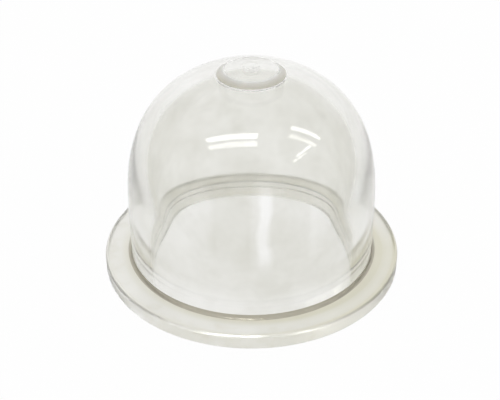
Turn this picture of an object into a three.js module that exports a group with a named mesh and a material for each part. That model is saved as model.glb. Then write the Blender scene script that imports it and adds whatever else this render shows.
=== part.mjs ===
// Primer bulb: the clear, soft button that is pressed to pump fuel into a small engine's carburettor.
// It is moulded in one piece: a hollow dome, a flat clamping flange, and a low pad on the crown that bears
// the stub left by the moulding gate.
// Millimetres, +Z up. The origin is the centre of the flange's flat underside.
import * as THREE from 'three';

// Flange, the flat ring that a retaining plate clamps to the carburettor body
const flangeDiameter = 22.0;
const flangeThickness = 1.15;
const flangeEdgeRadius = 0.22;

// Dome, a short straight wall under a full, rounded crown
const domeDiameter = 18.1;
const wallHeight = 4.1;
const crownHeight = 10.15;
const crownFullness = 2.44;
const footFilletRadius = 0.3;

// Hollow, open underneath, a straight bore under a rounded roof
const wallThickness = 1.4;
const crownThickness = 1.2;
const hollowSpringHeight = 7.0;
const hollowFullness = 2.31;
const mouthEdgeRadius = 0.25;

// Gate pad, a low round table on the crown, with the gate's stub in its middle
const padFootDiameter = 4.8;
const padTopDiameter = 4.0;
const padRise = 0.48;
const padFilletRadius = 0.15;
const padEdgeRadius = 0.12;
const stubDiameter = 1.2;
const stubRise = 0.28;
const stubEdgeRadius = 0.08;

// Facets
const turnSegments = 80;
const crownSteps = 16;
const hollowSteps = 12;
const edgeSteps = 3;

const domeRadius = domeDiameter / 2;
const hollowRadius = domeRadius - wallThickness;
const springHeight = flangeThickness + wallHeight;
const padTopHeight = crownFace(padFootDiameter / 2) + padRise;
const stubTopHeight = padTopHeight + stubRise;

// Height of the crown's outer face at a given radius
function crownFace(radius) {
  const share = 1 - (radius / domeRadius) ** crownFullness;
  return springHeight + crownHeight * share ** (1 / crownFullness);
}

// Quarter of a superellipse in the section plane, from its springing up to the axis or to a stop radius
function crownCurve(baseHeight, halfWidth, rise, fullness, stopRadius, steps) {
  const stopAngle = Math.acos((stopRadius / halfWidth) ** (fullness / 2));
  const points = [];
  for (let i = 0; i <= steps; i += 1) {
    const angle = stopAngle * i / steps;
    points.push(new THREE.Vector2(
      halfWidth * Math.abs(Math.cos(angle)) ** (2 / fullness),
      baseHeight + rise * Math.sin(angle) ** (2 / fullness),
    ));
  }
  return points;
}

// Circular arc in the section plane, angles in degrees from the +radius direction
function arc(centreRadius, centreHeight, radius, fromDegrees, toDegrees, steps) {
  const points = [];
  for (let i = 0; i <= steps; i += 1) {
    const angle = THREE.MathUtils.degToRad(fromDegrees + (toDegrees - fromDegrees) * i / steps);
    points.push(new THREE.Vector2(
      centreRadius + radius * Math.cos(angle),
      centreHeight + radius * Math.sin(angle),
    ));
  }
  return points;
}

// Hollow: from the crown's inner face down the inner wall to the rounded mouth
function hollowSection() {
  const roofHeight = springHeight + crownHeight - crownThickness;
  const roof = crownCurve(
    hollowSpringHeight,
    hollowRadius,
    roofHeight - hollowSpringHeight,
    hollowFullness,
    0,
    hollowSteps,
  ).reverse();
  roof[0].x = 0;
  const mouth = arc(hollowRadius + mouthEdgeRadius, mouthEdgeRadius, mouthEdgeRadius, 180, 270, edgeSteps);
  return [...roof, ...mouth];
}

// Flange: the flat underside, the rounded rim and the flat top face
function flangeSection() {
  const rimRadius = flangeDiameter / 2 - flangeEdgeRadius;
  const lower = arc(rimRadius, flangeEdgeRadius, flangeEdgeRadius, -90, 0, edgeSteps);
  const upper = arc(rimRadius, flangeThickness - flangeEdgeRadius, flangeEdgeRadius, 0, 90, edgeSteps);
  return [...lower, ...upper];
}

// Dome: the fillet at its foot, the straight wall and the crown up to the gate pad
function domeSection() {
  const fillet = arc(
    domeRadius + footFilletRadius,
    flangeThickness + footFilletRadius,
    footFilletRadius,
    270,
    180,
    edgeSteps,
  );
  const padReach = padFootDiameter / 2 + padFilletRadius;
  const crown = crownCurve(springHeight, domeRadius, crownHeight, crownFullness, padReach, crownSteps);
  return [...fillet, ...crown];
}

// Gate pad: its foot fillet, its sloping side, its eased edge and its flat top
function padSection() {
  const filletRadius = padFootDiameter / 2 + padFilletRadius;
  const filletHeight = crownFace(filletRadius) + padFilletRadius;
  const foot = arc(filletRadius, filletHeight, padFilletRadius, 250, 180, edgeSteps - 1);
  const edge = arc(
    padTopDiameter / 2 - padEdgeRadius,
    padTopHeight - padEdgeRadius,
    padEdgeRadius,
    0,
    90,
    edgeSteps,
  );
  return [...foot, ...edge];
}

// Gate stub: its upright side, its eased edge and its flat end, which closes the section on the axis
function stubSection() {
  const side = new THREE.Vector2(stubDiameter / 2, padTopHeight);
  const edge = arc(
    stubDiameter / 2 - stubEdgeRadius,
    stubTopHeight - stubEdgeRadius,
    stubEdgeRadius,
    0,
    90,
    edgeSteps - 1,
  );
  return [side, ...edge, new THREE.Vector2(0, stubTopHeight)];
}

// One closed section, turned about the axis and stood upright
function primerBulbGeometry() {
  const section = [
    ...hollowSection(),
    ...flangeSection(),
    ...domeSection(),
    ...padSection(),
    ...stubSection(),
  ];
  const geometry = new THREE.LatheGeometry(section, turnSegments);
  geometry.rotateX(Math.PI / 2);
  return geometry;
}

const clearSoftPlastic = new THREE.MeshStandardMaterial({
  color: 0xe2e1d5,
  roughness: 0.15,
  metalness: 0,
  transparent: true,
  opacity: 0.4,
});

const primerBulb = new THREE.Mesh(primerBulbGeometry(), clearSoftPlastic);
primerBulb.name = 'primer_bulb';

const part = new THREE.Group();
part.add(primerBulb);

export default part;
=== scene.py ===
"""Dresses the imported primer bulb: the smooth clear moulding, its finishes, the floor, lamps and camera."""

import logging
import math
from dataclasses import dataclass, field
from enum import Enum

import bpy
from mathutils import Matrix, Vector


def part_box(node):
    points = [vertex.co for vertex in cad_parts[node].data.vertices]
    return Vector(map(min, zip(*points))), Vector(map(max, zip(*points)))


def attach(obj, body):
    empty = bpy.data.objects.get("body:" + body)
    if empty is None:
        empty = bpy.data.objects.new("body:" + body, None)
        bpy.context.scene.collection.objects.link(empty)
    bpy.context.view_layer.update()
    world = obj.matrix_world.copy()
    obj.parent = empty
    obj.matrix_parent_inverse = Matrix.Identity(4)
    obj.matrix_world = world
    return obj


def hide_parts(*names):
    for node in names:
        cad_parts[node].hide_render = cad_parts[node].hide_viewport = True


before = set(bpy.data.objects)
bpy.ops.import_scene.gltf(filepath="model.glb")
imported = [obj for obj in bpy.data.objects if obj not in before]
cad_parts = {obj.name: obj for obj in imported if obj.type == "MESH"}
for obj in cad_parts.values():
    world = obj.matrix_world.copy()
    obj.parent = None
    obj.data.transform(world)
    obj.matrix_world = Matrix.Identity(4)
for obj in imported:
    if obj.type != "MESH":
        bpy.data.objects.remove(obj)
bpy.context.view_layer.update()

MM = 0.001
NODE = "primer_bulb"
BODY = "root"
WALL_BOUNCES = 48
RIM_RADIUS = 11.0 * MM
NEUTRAL = 0.5

log = logging.getLogger("primer_bulb")


@dataclass
class Socket:
    """A shader value that can be used in Python sums, each of which adds its own Math node."""

    tree: "ShaderTree"
    link: bpy.types.NodeSocket

    def _math(self, operation: str, first: object, second: object) -> "Socket":
        """Adds one Math node and returns its value."""
        return self.tree.node("ShaderNodeMath", {"operation": operation}, {0: first, 1: second})

    def __add__(self, other: object) -> "Socket":
        """Sum."""
        return self._math("ADD", self, other)

    def __radd__(self, other: object) -> "Socket":
        """Sum with a plain number first."""
        return self._math("ADD", other, self)

    def __sub__(self, other: object) -> "Socket":
        """Difference."""
        return self._math("SUBTRACT", self, other)

    def __rsub__(self, other: object) -> "Socket":
        """Difference from a plain number."""
        return self._math("SUBTRACT", other, self)

    def __mul__(self, other: object) -> "Socket":
        """Product."""
        return self._math("MULTIPLY", self, other)

    def __rmul__(self, other: object) -> "Socket":
        """Product with a plain number first."""
        return self._math("MULTIPLY", other, self)

    def maximum(self, other: object) -> "Socket":
        """The larger of two values."""
        return self._math("MAXIMUM", self, other)

    def less_than(self, other: object) -> "Socket":
        """1 where this value is the smaller, else 0."""
        return self._math("LESS_THAN", self, other)


class ShaderTree:
    """Builds the nodes of one material or world."""

    def __init__(self, nodes: bpy.types.NodeTree) -> None:
        """Clears the tree.

        Args:
            nodes: The node tree of a material or world.
        """
        self.tree = nodes
        self.tree.nodes.clear()

    def node(
        self,
        kind: str,
        settings: dict[str, object] | None = None,
        inputs: dict[int | str, object] | None = None,
        output: int | str = 0,
    ) -> Socket:
        """Adds a node, sets it and links it.

        Args:
            kind: The node's Blender type.
            settings: Properties such as an operation or a ramp's stops, set first.
            inputs: Values or links of its sockets, by name or number.
            output: The output that the result stands for.

        Returns:
            The chosen output, ready for sums.
        """
        made = self.tree.nodes.new(kind)
        for name, value in (settings or {}).items():
            if name == "stops":
                self._set_ramp(made.color_ramp, value)
            else:
                setattr(made, name, value)
        for name, value in (inputs or {}).items():
            if isinstance(value, Socket):
                self.tree.links.new(value.link, made.inputs[name])
            else:
                made.inputs[name].default_value = value
        return Socket(self, made.outputs[output] if made.outputs else None)

    @staticmethod
    def _set_ramp(ramp: bpy.types.ColorRamp, stops: list[tuple[float, float]]) -> None:
        """Sets a grey ramp.

        Args:
            ramp: The ramp of a new Color Ramp node.
            stops: Place and grey value of each stop.
        """
        while len(ramp.elements) < len(stops):
            ramp.elements.new(0.5)
        for element, (place, grey) in zip(ramp.elements, stops):
            element.position = place
            element.color = (grey, grey, grey, 1.0)

    def ramp(self, value: Socket, stops: list[tuple[float, float]]) -> Socket:
        """Passes a value through a grey ramp.

        Args:
            value: The value to shape.
            stops: Place and grey value of each stop.

        Returns:
            The shaped value.
        """
        return self.node("ShaderNodeValToRGB", {"stops": stops}, {"Fac": value})

    def place(self) -> Socket:
        """The point on the piece, in metres."""
        return self.node("ShaderNodeTexCoord", output="Object")

    def part_of(self, vector: Socket, axis: str) -> Socket:
        """One of a vector's parts.

        Args:
            vector: The vector.
            axis: X, Y or Z.

        Returns:
            That part of it.
        """
        return self.node("ShaderNodeSeparateXYZ", {}, {0: vector}, output=axis)

    def radius(self) -> Socket:
        """Distance of the point from the piece's axis, in metres."""
        place = self.place()
        sides = {0: self.part_of(place, "X"), 1: self.part_of(place, "Y")}
        flat = self.node("ShaderNodeCombineXYZ", {}, sides)
        return self.node("ShaderNodeVectorMath", {"operation": "LENGTH"}, {0: flat}, output="Value")

    def noise(self, grain: float, detail: float = 2.0, roughness: float = 0.5) -> Socket:
        """Cloudy noise on the piece.

        Args:
            grain: Size of its blotches in metres.
            detail: Number of finer octaves.
            roughness: Strength of the finer octaves.

        Returns:
            A value from 0 to 1.
        """
        return self.node(
            "ShaderNodeTexNoise",
            {},
            {"Vector": self.place(), "Scale": 1 / grain, "Detail": detail, "Roughness": roughness},
        )

    def unscattered(self) -> Socket:
        """1 for light that reaches the eye by mirrors and lenses alone, 0 once it has met a matt face."""
        depth = self.node("ShaderNodeLightPath", output="Diffuse Depth")
        return depth.less_than(0.5)

    def blend(self, share: Socket, first: tuple[float, ...], second: tuple[float, ...]) -> Socket:
        """Mixes two colours.

        Args:
            share: How much of the second colour shows.
            first: Red, green and blue where share is 0.
            second: Red, green and blue where share is 1.

        Returns:
            The mixed colour.
        """
        return self.node(
            "ShaderNodeMix",
            {"data_type": "RGBA"},
            {"Factor": share, 6: (*first, 1.0), 7: (*second, 1.0)},
            output=2,
        )


@dataclass(frozen=True)
class PaintedShadeBand:
    """Painted shade: how much deeper the plastic's colour is painted from place to place, along the radius
    or the height.

    The stops give a place in metres and the painted shade's share there. Lean makes the painted shade
    stronger on the right and weaker on the left, right_fill adds an even painted shade that grows to the
    right, and back_share is what is left of it all at the back, so that the shade is painted mostly at the
    front. Reach is the length that the whole ramp stands for.
    """

    along: str
    stops: tuple[tuple[float, float], ...]
    lean: float = 0.0
    right_fill: float = 0.0
    back_share: float = 1.0
    back_start: float = -0.8 * MM
    back_end: float = 3.2 * MM
    reach: float = 16.0 * MM

    def share(self, shader: ShaderTree) -> Socket:
        """Builds the painted shade's share.

        Args:
            shader: The tree of the finish.

        Returns:
            0 where the plastic is clean and 1 where it is fully stained.
        """
        if self.along == "radius":
            place = shader.radius()
        else:
            place = shader.part_of(shader.place(), "Z")
        stops = [(at / self.reach, level) for at, level in self.stops]
        share = shader.ramp(place * (1 / self.reach), stops)
        if self.lean:
            share = share * (shader.part_of(shader.place(), "X") * (self.lean / RIM_RADIUS) + 1.0)
        if self.right_fill:
            fill = shader.part_of(shader.place(), "X") * (self.right_fill / RIM_RADIUS)
            share = share + fill.maximum(0.0)
        if self.back_share < 1.0:
            behind = shader.part_of(shader.place(), "Y") * (1 / self.reach) + NEUTRAL
            fade = [
                (self.back_start / self.reach + NEUTRAL, 1.0),
                (self.back_end / self.reach + NEUTRAL, self.back_share),
            ]
            share = share * shader.ramp(behind, fade)
        return share


@dataclass(frozen=True)
class PaintedPatches:
    """Painted lighter and darker patches in the dome's colour, standing in for reflections and shade, laid
    out across the dome and up its height.

    The stops across give a place and a level, neutral at 0.5, painted lighter below it and painted darker
    above it. The stops upward give a height and how much of the patches shows there. The sway makes their
    edges wander, and reach is the length that each whole ramp stands for.
    """

    across: tuple[tuple[float, float], ...]
    upward: tuple[tuple[float, float], ...]
    strength: float
    front_only: bool = True
    sway: float = 1.2 * MM
    sway_grain: float = 2.5 * MM
    reach: float = 20.0 * MM

    def change(self, shader: ShaderTree) -> Socket:
        """Builds the change that the painted patches make to the share of the stain and shade colour.

        Args:
            shader: The tree of the finish.

        Returns:
            Below 0 where a patch is painted lighter, above 0 where it is painted darker.
        """
        place = shader.place()
        sway = (shader.noise(self.sway_grain) - NEUTRAL) * self.sway
        side = (shader.part_of(place, "X") + sway) * (1 / self.reach) + NEUTRAL
        stripe = shader.ramp(side, [(at / self.reach + NEUTRAL, level) for at, level in self.across])
        rise = shader.part_of(place, "Z") * (1 / self.reach)
        tall = shader.ramp(rise, [(at / self.reach, level) for at, level in self.upward])
        change = (stripe - NEUTRAL) * tall * self.strength
        # Painted on the front only, the side that faces the camera.
        if self.front_only:
            return change * shader.part_of(place, "Y").less_than(0.0)
        return change


# Painted reflection and shade: lighter vertical stripes on the front of the dome stand in for a reflected
# bright strip, and the stripes beside them are painted darker.
PAINTED_STREAKS = PaintedPatches(
    across=(
        (-5.2 * MM, 0.5),
        (-4.4 * MM, 0.44),
        (-2.9 * MM, 0.5),
        (-2.4 * MM, 0.72),
        (-0.2 * MM, 0.74),
        (0.3 * MM, 0.5),
        (0.65 * MM, 0.0),
        (1.1 * MM, 0.0),
        (1.5 * MM, 0.54),
        (3.5 * MM, 0.54),
        (3.9 * MM, 0.3),
        (4.8 * MM, 0.3),
        (5.5 * MM, 0.52),
    ),
    upward=((4.9 * MM, 0.0), (6.0 * MM, 1.0), (10.4 * MM, 1.0), (11.4 * MM, 0.0)),
    strength=0.95,
)
# Painted shade: darkens the front of the dome from just above the flange to near the crown, most strongly
# low down and to the right.
PAINTED_FRONT_SHADE = PaintedPatches(
    across=(
        (-9.0 * MM, 0.5),
        (-8.0 * MM, 0.9),
        (-5.0 * MM, 0.75),
        (0.0 * MM, 0.86),
        (4.4 * MM, 1.0),
        (6.5 * MM, 0.8),
        (8.0 * MM, 0.6),
        (9.0 * MM, 0.4),
    ),
    upward=((2.2 * MM, 0.0), (3.2 * MM, 1.0), (6.0 * MM, 0.9), (7.5 * MM, 0.7), (11.0 * MM, 0.0)),
    strength=1.0,
)
# Painted shade: darker patches on the dome's left and right shoulders, the sides that the camera sees
# edge-on.
PAINTED_SHOULDER_SHADE = PaintedPatches(
    across=(
        (-9.0 * MM, 0.6),
        (-7.2 * MM, 0.95),
        (-5.4 * MM, 0.6),
        (-3.5 * MM, 0.5),
        (3.5 * MM, 0.5),
        (5.4 * MM, 0.65),
        (7.2 * MM, 1.0),
        (9.0 * MM, 0.6),
    ),
    upward=((8.6 * MM, 0.0), (9.8 * MM, 1.0), (12.8 * MM, 0.9), (14.2 * MM, 0.0)),
    strength=0.62,
    front_only=False,
)


@dataclass(frozen=True)
class PlasticFinish:
    """The clear, slightly yellowed plastic, as polished or as matt as one part of the mould leaves it.

    Milk is the share of light that the plastic scatters instead of letting it through. The tint is its
    colour where it is clean. The stain and shade colour is deeper: random smudges lay it on as a real stain,
    and the bands and patches lay it on as painted shade and painted reflections.
    """

    name: str
    milk: float
    tint: tuple[float, float, float]
    stain_and_shade: tuple[float, float, float]
    gloss_roughness: float
    dull_roughness: float
    blotch: float
    grain: float = 0.0
    grain_depth: float = 0.0
    wave_depth: float = 0.0
    smudge_stain: float = 0.5
    least_stain: float = 0.0
    painted_shade_band: PaintedShadeBand | None = None
    painted_patches: tuple[PaintedPatches, ...] = ()

    refractive_index: float = 1.5
    smudge_stops: tuple[tuple[float, float], ...] = ((0.42, 0.0), (0.68, 1.0))
    smudge_detail: float = 3.0
    fine_roughness: float = 0.6

    def stain_and_shade_share(self, shader: ShaderTree, smudge: Socket) -> Socket:
        """Adds up the smudges, the painted patches and the band of painted shade.

        Args:
            shader: The tree of the finish.
            smudge: The smudges, 0 where clean and 1 where smudged.

        Returns:
            How much of the stain's colour shows.
        """
        share = smudge * (self.smudge_stain - self.least_stain) + self.least_stain
        # The smudges are a random stain; the patches and band added below are painted shade and painted
        # reflections.
        for painted_patch in self.painted_patches:
            share = share + painted_patch.change(shader)
        if self.painted_shade_band:
            share = share.maximum(self.painted_shade_band.share(shader))
        return share

    def relief(self, shader: ShaderTree) -> Socket:
        """Builds the fine unevenness that the mould leaves.

        Args:
            shader: The tree of the finish.

        Returns:
            The normal of the uneven surface.
        """
        height: Socket | float = 0.0
        if self.grain_depth:
            height = shader.noise(self.grain, 2.0, self.fine_roughness) * self.grain_depth
        if self.wave_depth:
            height = shader.noise(self.blotch, 0.0) * self.wave_depth + height
        return shader.node(
            "ShaderNodeBump", {}, {"Strength": 1.0, "Distance": 1.0, "Height": height}, output="Normal"
        )

    def build(self) -> bpy.types.Material:
        """Makes the material.

        Returns:
            A material that can be put in a piece's slot.
        """
        material = bpy.data.materials.new(self.name)
        material.use_nodes = True
        shader = ShaderTree(material.node_tree)
        cloud = shader.noise(self.blotch, self.smudge_detail, self.fine_roughness)
        smudge = shader.ramp(cloud, list(self.smudge_stops))
        spread = self.dull_roughness - self.gloss_roughness
        surface = shader.node(
            "ShaderNodeBsdfPrincipled",
            {},
            {
                "Base Color": shader.blend(self.stain_and_shade_share(shader, smudge), self.tint, self.stain_and_shade),
                "Roughness": smudge * spread + self.gloss_roughness,
                "IOR": self.refractive_index,
                "Transmission Weight": 1.0 - self.milk,
                "Normal": self.relief(shader),
            },
        )
        shader.node("ShaderNodeOutputMaterial", {}, {"Surface": surface})
        return material


class Finish(Enum):
    """The finishes on the moulding, in the order of its material slots; the foot crease is painted shade,
    and the gate pad's side partly so.
    """

    POLISHED = PlasticFinish(
        name="polished_dome",
        milk=0.01,
        tint=(0.985, 0.984, 0.97),
        stain_and_shade=(0.70, 0.695, 0.63),
        gloss_roughness=0.045,
        dull_roughness=0.085,
        blotch=2.6 * MM,
        grain=0.25 * MM,
        grain_depth=0.0001 * MM,
        wave_depth=0.004 * MM,
        smudge_stain=0.5,
        least_stain=0.24,
        # The patches paint reflection streaks onto the front of the dome, and shade onto its front and
        # shoulders.
        painted_patches=(PAINTED_STREAKS, PAINTED_FRONT_SHADE, PAINTED_SHOULDER_SHADE),
    )
    SATIN = PlasticFinish(
        name="satin_flange",
        milk=0.12,
        tint=(0.96, 0.952, 0.895),
        stain_and_shade=(0.70, 0.67, 0.49),
        gloss_roughness=0.28,
        dull_roughness=0.42,
        blotch=1.8 * MM,
        grain=0.12 * MM,
        grain_depth=0.002 * MM,
        smudge_stain=0.4,
        # The band is painted shade: darker rings at the dome's foot and near the rim, leaning to the right
        # and fading at the back.
        painted_shade_band=PaintedShadeBand(
            "radius",
            (
                (9.3 * MM, 1.0),
                (9.55 * MM, 0.75),
                (9.9 * MM, 0.25),
                (10.3 * MM, 0.1),
                (10.6 * MM, 0.15),
                (10.78 * MM, 0.5),
                (10.9 * MM, 0.35),
                (10.985 * MM, 0.0),
            ),
            lean=0.45,
            back_share=0.35,
            right_fill=0.6,
        ),
    )
    # Painted shade: the dark line round the dome's foot is painted into the fillet's colour, dark and milky,
    # and almost only at the front.
    PAINTED_FOOT_SHADE = PlasticFinish(
        name="painted_shade_at_the_foot",
        milk=0.3,
        tint=(0.86, 0.84, 0.76),
        stain_and_shade=(0.27, 0.235, 0.15),
        gloss_roughness=0.3,
        dull_roughness=0.4,
        blotch=3.0 * MM,
        smudge_stain=0.15,
        painted_shade_band=PaintedShadeBand("radius", ((9.0 * MM, 0.9), (9.4 * MM, 0.9)), back_share=0.08),
    )
    # Partly painted shade: the gate pad's matt side, with a dark crescent painted round it at the front.
    GATE_SIDE_PAINTED_SHADE = PlasticFinish(
        name="gate_pad_side_painted_shade",
        milk=0.15,
        tint=(0.985, 0.983, 0.97),
        stain_and_shade=(0.42, 0.385, 0.26),
        gloss_roughness=0.4,
        dull_roughness=0.5,
        blotch=1.5 * MM,
        smudge_stain=0.2,
        painted_shade_band=PaintedShadeBand(
            "height",
            ((15.15 * MM, 1.0), (15.4 * MM, 0.85), (15.6 * MM, 0.45), (15.7 * MM, 0.1)),
            back_share=0.05,
        ),
    )
    TORN = PlasticFinish(
        name="torn_gate_stub",
        milk=0.03,
        tint=(0.985, 0.984, 0.97),
        stain_and_shade=(0.9, 0.89, 0.85),
        gloss_roughness=0.1,
        dull_roughness=0.25,
        blotch=0.3 * MM,
        grain=0.15 * MM,
        grain_depth=0.001 * MM,
    )


@dataclass
class BulbMoulding:
    """The whole moulding: dome, flange, gate pad and hollow, turned from one fine section."""

    flange_radius: float
    flange_thickness: float = 1.15 * MM
    flange_edge: float = 0.22 * MM
    dome_radius: float = 9.05 * MM
    spring_height: float = 5.25 * MM
    crown_rise: float = 10.15 * MM
    crown_fullness: float = 2.44
    foot_fillet: float = 0.3 * MM
    wall: float = 1.4 * MM
    crown_wall: float = 1.2 * MM
    hollow_spring_height: float = 7.0 * MM
    hollow_fullness: float = 2.31
    mouth_edge: float = 0.25 * MM
    pad_foot_radius: float = 2.4 * MM
    pad_top_radius: float = 2.0 * MM
    pad_rise: float = 0.48 * MM
    pad_fillet: float = 0.15 * MM
    pad_edge: float = 0.12 * MM
    stub_radius: float = 0.6 * MM
    stub_rise: float = 0.28 * MM
    stub_edge: float = 0.08 * MM

    turn_steps: int = 240
    crown_steps: int = 56
    arc_steps: int = 8
    flat_margin: float = 0.05 * MM
    finish_margin: float = 0.01 * MM
    crease_angle: float = 40.0
    weld_gap: float = 0.0005 * MM
    piece: bpy.types.Object = field(init=False)

    @property
    def hollow_radius(self) -> float:
        """Radius of the hollow's straight wall."""
        return self.dome_radius - self.wall

    @property
    def pad_height(self) -> float:
        """Height of the gate pad's flat top."""
        return self.crown_height(self.pad_foot_radius) + self.pad_rise

    def crown_height(self, radius: float) -> float:
        """Height of the crown's outer face.

        Args:
            radius: Distance from the axis.

        Returns:
            Height above the flange's underside.
        """
        share = 1 - (radius / self.dome_radius) ** self.crown_fullness
        return self.spring_height + self.crown_rise * share ** (1 / self.crown_fullness)

    def arc(self, centre: tuple[float, float], radius: float, start: float, end: float) -> list[tuple]:
        """Part of a circle in the section.

        Args:
            centre: Radius and height of its centre.
            radius: Its radius.
            start: First angle in degrees.
            end: Last angle in degrees.

        Returns:
            Radius and height of each point.
        """
        points = []
        for step in range(self.arc_steps + 1):
            angle = math.radians(start + (end - start) * step / self.arc_steps)
            points.append((centre[0] + radius * math.cos(angle), centre[1] + radius * math.sin(angle)))
        return points

    def crown(
        self, base: float, half_width: float, rise: float, fullness: float, stop: float
    ) -> list[tuple]:
        """Quarter superellipse, from the springing towards the axis.

        Args:
            base: Height of the springing.
            half_width: Radius at the springing.
            rise: Height of the apex above the springing.
            fullness: Exponent, 2 for an ellipse and more for a squarer shoulder.
            stop: Radius at which the curve ends.

        Returns:
            Radius and height of each point.
        """
        last = math.acos((stop / half_width) ** (fullness / 2))
        points = []
        for step in range(self.crown_steps + 1):
            angle = last * step / self.crown_steps
            radius = half_width * abs(math.cos(angle)) ** (2 / fullness)
            points.append((radius, base + rise * math.sin(angle) ** (2 / fullness)))
        return points

    def hollow_section(self) -> list[tuple]:
        """From the hollow's roof on the axis down to the rounded mouth."""
        roof_height = self.spring_height + self.crown_rise - self.crown_wall
        roof = self.crown(
            self.hollow_spring_height,
            self.hollow_radius,
            roof_height - self.hollow_spring_height,
            self.hollow_fullness,
            0.0,
        )
        roof[-1] = (0.0, roof[-1][1])
        roof.reverse()
        mouth = self.arc(
            (self.hollow_radius + self.mouth_edge, self.mouth_edge), self.mouth_edge, 180, 270
        )
        straight = [(self.hollow_radius, self.mouth_edge + self.flat_margin)]
        return roof + straight + mouth

    def flange_section(self) -> list[tuple]:
        """Along the underside, round the rim and back over the flange's top."""
        rim = self.flange_radius - self.flange_edge
        inner = self.hollow_radius + self.mouth_edge + self.flat_margin
        lower = self.arc((rim, self.flange_edge), self.flange_edge, -90, 0)
        upper = self.arc((rim, self.flange_thickness - self.flange_edge), self.flange_edge, 0, 90)
        under = [(inner, 0.0), (rim - self.flat_margin, 0.0)]
        foot = self.dome_radius + self.foot_fillet + self.flat_margin
        over = [(rim - self.flat_margin, self.flange_thickness), (foot, self.flange_thickness)]
        return under + lower + upper + over

    def dome_section(self) -> list[tuple]:
        """Up the foot fillet, the straight wall and the crown, to the gate pad."""
        centre = (self.dome_radius + self.foot_fillet, self.flange_thickness + self.foot_fillet)
        fillet = self.arc(centre, self.foot_fillet, 270, 180)
        wall = [(self.dome_radius, centre[1] + self.flat_margin)]
        reach = self.pad_foot_radius + self.pad_fillet
        crown = self.crown(
            self.spring_height, self.dome_radius, self.crown_rise, self.crown_fullness, reach
        )
        return fillet + wall + crown

    def gate_section(self) -> list[tuple]:
        """Up the gate pad's side, over its top and over the stub, to the axis."""
        reach = self.pad_foot_radius + self.pad_fillet
        foot = self.arc((reach, self.crown_height(reach) + self.pad_fillet), self.pad_fillet, 250, 180)
        edge_radius = self.pad_top_radius - self.pad_edge
        edge = self.arc((edge_radius, self.pad_height - self.pad_edge), self.pad_edge, 0, 90)
        top = [
            (edge_radius - self.flat_margin, self.pad_height),
            (self.stub_radius + self.flat_margin, self.pad_height),
            (self.stub_radius, self.pad_height),
        ]
        stub_top = self.pad_height + self.stub_rise
        stub_centre = (self.stub_radius - self.stub_edge, stub_top - self.stub_edge)
        stub = self.arc(stub_centre, self.stub_edge, 0, 90)
        return foot + edge + top + stub + [(0.0, stub_top)]

    def build(self) -> None:
        """Draws the section by extruding one vertex along it, and turns it about the axis."""
        section = (
            self.hollow_section() + self.flange_section() + self.dome_section() + self.gate_section()
        )
        bpy.ops.object.select_all(action="DESELECT")
        bpy.ops.mesh.primitive_plane_add(size=MM, location=(0.0, 0.0, 0.0))
        self.piece = bpy.context.object
        self.piece.name = "clear_bulb"
        bpy.ops.object.mode_set(mode="EDIT")
        bpy.ops.mesh.select_all(action="SELECT")
        bpy.ops.mesh.merge(type="CENTER")
        last = Vector((section[0][0], 0.0, section[0][1]))
        bpy.ops.transform.translate(value=last)
        for radius, height in section[1:]:
            point = Vector((radius, 0.0, height))
            bpy.ops.mesh.extrude_region_move(TRANSFORM_OT_translate={"value": point - last})
            last = point
        bpy.ops.mesh.select_all(action="SELECT")
        bpy.ops.mesh.spin(
            steps=self.turn_steps, angle=2 * math.pi, center=(0.0, 0.0, 0.0), axis=(0.0, 0.0, 1.0)
        )
        bpy.ops.mesh.select_all(action="SELECT")
        bpy.ops.mesh.remove_doubles(threshold=self.weld_gap)
        bpy.ops.mesh.normals_make_consistent(inside=False)
        bpy.ops.object.mode_set(mode="OBJECT")
        bpy.ops.object.shade_smooth_by_angle(angle=math.radians(self.crease_angle))

    def finish_at(self, radius: float, height: float) -> Finish:
        """Chooses the finish at a place: the mould's finish, the painted shade in the fillet at the dome's
        foot, or the gate pad's side with its painted shade.

        Args:
            radius: Distance from the axis.
            height: Height above the flange's underside.

        Returns:
            The finish there.
        """
        on_flange = self.finish_margin <= height <= self.flange_thickness + self.finish_margin
        if on_flange and radius > self.dome_radius:
            return Finish.SATIN
        if height > self.pad_height + self.stub_rise - self.finish_margin:
            return Finish.TORN
        in_fillet = self.dome_radius < radius < self.dome_radius + self.foot_fillet
        if in_fillet and height > self.flange_thickness:
            return Finish.PAINTED_FOOT_SHADE
        on_pad = height > self.crown_height(self.pad_foot_radius)
        if on_pad and self.pad_top_radius - self.pad_edge < radius < self.pad_foot_radius:
            return Finish.GATE_SIDE_PAINTED_SHADE
        return Finish.POLISHED

    def dress(self) -> None:
        """Gives every face the finish of its place."""
        order = list(Finish)
        for finish in order:
            self.piece.data.materials.append(finish.value.build())
        for face in self.piece.data.polygons:
            centre = face.center
            finish = self.finish_at(math.hypot(centre.x, centre.y), centre.z)
            face.material_index = order.index(finish)

    def hand_over(self) -> None:
        """Attaches the piece to the root body and hides the imported node that it takes the place of."""
        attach(self.piece, BODY)
        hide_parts(NODE)


@dataclass(frozen=True)
class CeilingLamp:
    """A bright bar on the ceiling.

    Its place, length and width are shares of the ceiling's height, and its turn is in degrees.
    """

    name: str
    across: float
    towards_camera: float
    length: float
    width: float
    turn: float
    radiance: float


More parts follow.
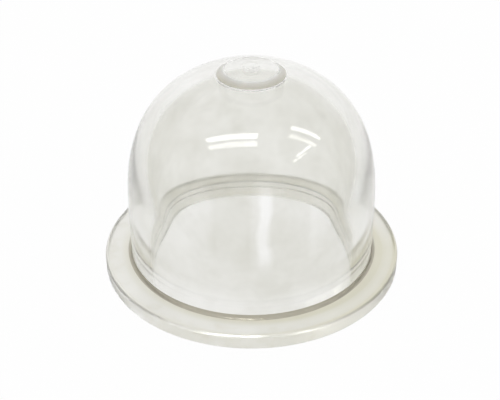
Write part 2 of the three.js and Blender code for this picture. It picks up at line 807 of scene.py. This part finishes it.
@dataclass
class Studio:
    """The floor, the soft room light, the ceiling lamps and the camera."""

    floor_size: float = 2.0
    floor_gap: float = 0.02 * MM
    floor_colour: float = 0.71
    floor_white: float = 0.98
    floor_white_in_glass: float = 0.92
    room_light: float = 0.65
    room_white: float = 1.0
    ceiling: float = 0.6
    lamps: tuple[CeilingLamp, ...] = (
        CeilingLamp("lamp_front", -0.335, 0.275, 0.85, 0.13, 0.0, 8.0),
        CeilingLamp("lamp_right", 1.01, -0.02, 0.92, 0.1, 3.0, 8.0),
        CeilingLamp("lamp_right_end", 1.11, 0.51, 0.48, 0.09, 62.0, 8.0),
    )

    camera_distance: float = 80.0 * MM
    camera_elevation: float = 33.32
    camera_roll: float = 0.14
    aim_height: float = 4.96 * MM
    focal_px: float = 1082.1
    image_width_px: float = 500.0
    sensor_mm: float = 36.0

    def lay_floor(self) -> None:
        """Lays the plain white floor, which keeps a trace of the object's shadow."""
        bpy.ops.object.select_all(action="DESELECT")
        bpy.ops.mesh.primitive_plane_add(size=self.floor_size, location=(0.0, 0.0, -self.floor_gap))
        floor = bpy.context.object
        floor.name = "floor"
        material = bpy.data.materials.new("white_floor")
        material.use_nodes = True
        shader = ShaderTree(material.node_tree)
        ray = {
            kind: shader.node("ShaderNodeLightPath", output=kind)
            for kind in ("Is Camera Ray", "Is Glossy Ray", "Is Transmission Ray")
        }
        in_glass = ray["Is Glossy Ray"].maximum(ray["Is Transmission Ray"]) * self.floor_white_in_glass
        direct = ray["Is Camera Ray"] * self.floor_white
        seen = direct.maximum(in_glass) * shader.unscattered()
        paint = shader.node("ShaderNodeBsdfDiffuse", {}, {"Color": (*[self.floor_colour] * 3, 1.0)})
        white = shader.node("ShaderNodeEmission", {}, {"Strength": 1.0})
        mixed = shader.node("ShaderNodeMixShader", {}, {0: seen, 1: paint, 2: white})
        shader.node("ShaderNodeOutputMaterial", {}, {"Surface": mixed})
        floor.data.materials.append(material)

    def light_room(self) -> None:
        """Fills the room with soft light, and shows it white to polished and clear faces."""
        world = bpy.data.worlds.new("soft_room")
        bpy.context.scene.world = world
        world.use_nodes = True
        shader = ShaderTree(world.node_tree)
        mirrored = shader.node("ShaderNodeLightPath", output="Is Glossy Ray")
        passed = shader.node("ShaderNodeLightPath", output="Is Transmission Ray")
        seen = mirrored.maximum(passed) * shader.unscattered()
        room = shader.node(
            "ShaderNodeBackground",
            {},
            {
                "Color": (1.0, 1.0, 1.0, 1.0),
                "Strength": seen * (self.room_white - self.room_light) + self.room_light,
            },
        )
        shader.node("ShaderNodeOutputWorld", {}, {"Surface": room})

    def hang_lamp(self, lamp: CeilingLamp) -> None:
        """Hangs one bar on the ceiling, facing down at the object.

        Args:
            lamp: The bar's place, size and brightness.
        """
        place = Vector((lamp.across, -lamp.towards_camera, 1.0)) * self.ceiling
        light = bpy.data.lights.new(lamp.name, "AREA")
        light.shape = "RECTANGLE"
        light.size = lamp.length * self.ceiling
        light.size_y = lamp.width * self.ceiling
        light.energy = lamp.radiance * math.pi * light.size * light.size_y
        holder = bpy.data.objects.new(lamp.name, light)
        holder.location = place
        holder.rotation_euler = (0.0, 0.0, math.radians(lamp.turn))
        bpy.context.collection.objects.link(holder)

    def set_camera(self) -> None:
        """Puts the camera where the photograph was taken from."""
        tilt = math.radians(self.camera_elevation)
        lens = bpy.data.cameras.new("photo_camera")
        lens.sensor_width = self.sensor_mm
        lens.lens = self.focal_px / self.image_width_px * self.sensor_mm
        lens.clip_start = MM
        lens.clip_end = self.floor_size * 2
        camera = bpy.data.objects.new("photo_camera", lens)
        camera.location = (
            0.0,
            -self.camera_distance * math.cos(tilt),
            self.aim_height + self.camera_distance * math.sin(tilt),
        )
        camera.rotation_euler = (math.pi / 2 - tilt, math.radians(self.camera_roll), 0.0)
        bpy.context.collection.objects.link(camera)
        bpy.context.scene.camera = camera

    @staticmethod
    def let_light_wander() -> None:
        """Lets light be thrown to and fro inside the clear wall until it finds its way out."""
        paths = bpy.context.scene.cycles
        paths.max_bounces = WALL_BOUNCES
        paths.glossy_bounces = WALL_BOUNCES
        paths.transmission_bounces = WALL_BOUNCES

    def build(self) -> None:
        """Sets up everything round the object."""
        bpy.context.scene.view_settings.view_transform = "Standard"
        self.let_light_wander()
        self.set_camera()
        self.lay_floor()
        self.light_room()
        for lamp in self.lamps:
            self.hang_lamp(lamp)


def main() -> None:
    """Builds the studio and the moulding, and reports each."""
    logging.basicConfig(level=logging.INFO, format="%(name)s: %(message)s")
    Studio().build()
    log.info("studio: floor, room light, ceiling lamps and camera")
    low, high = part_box(NODE)
    bulb = BulbMoulding(flange_radius=(high[0] - low[0]) / 2)
    bulb.build()
    bulb.dress()
    bulb.hand_over()
    log.info("%s: %d faces", bulb.piece.name, len(bulb.piece.data.polygons))


if __name__ == "__main__":
    main()
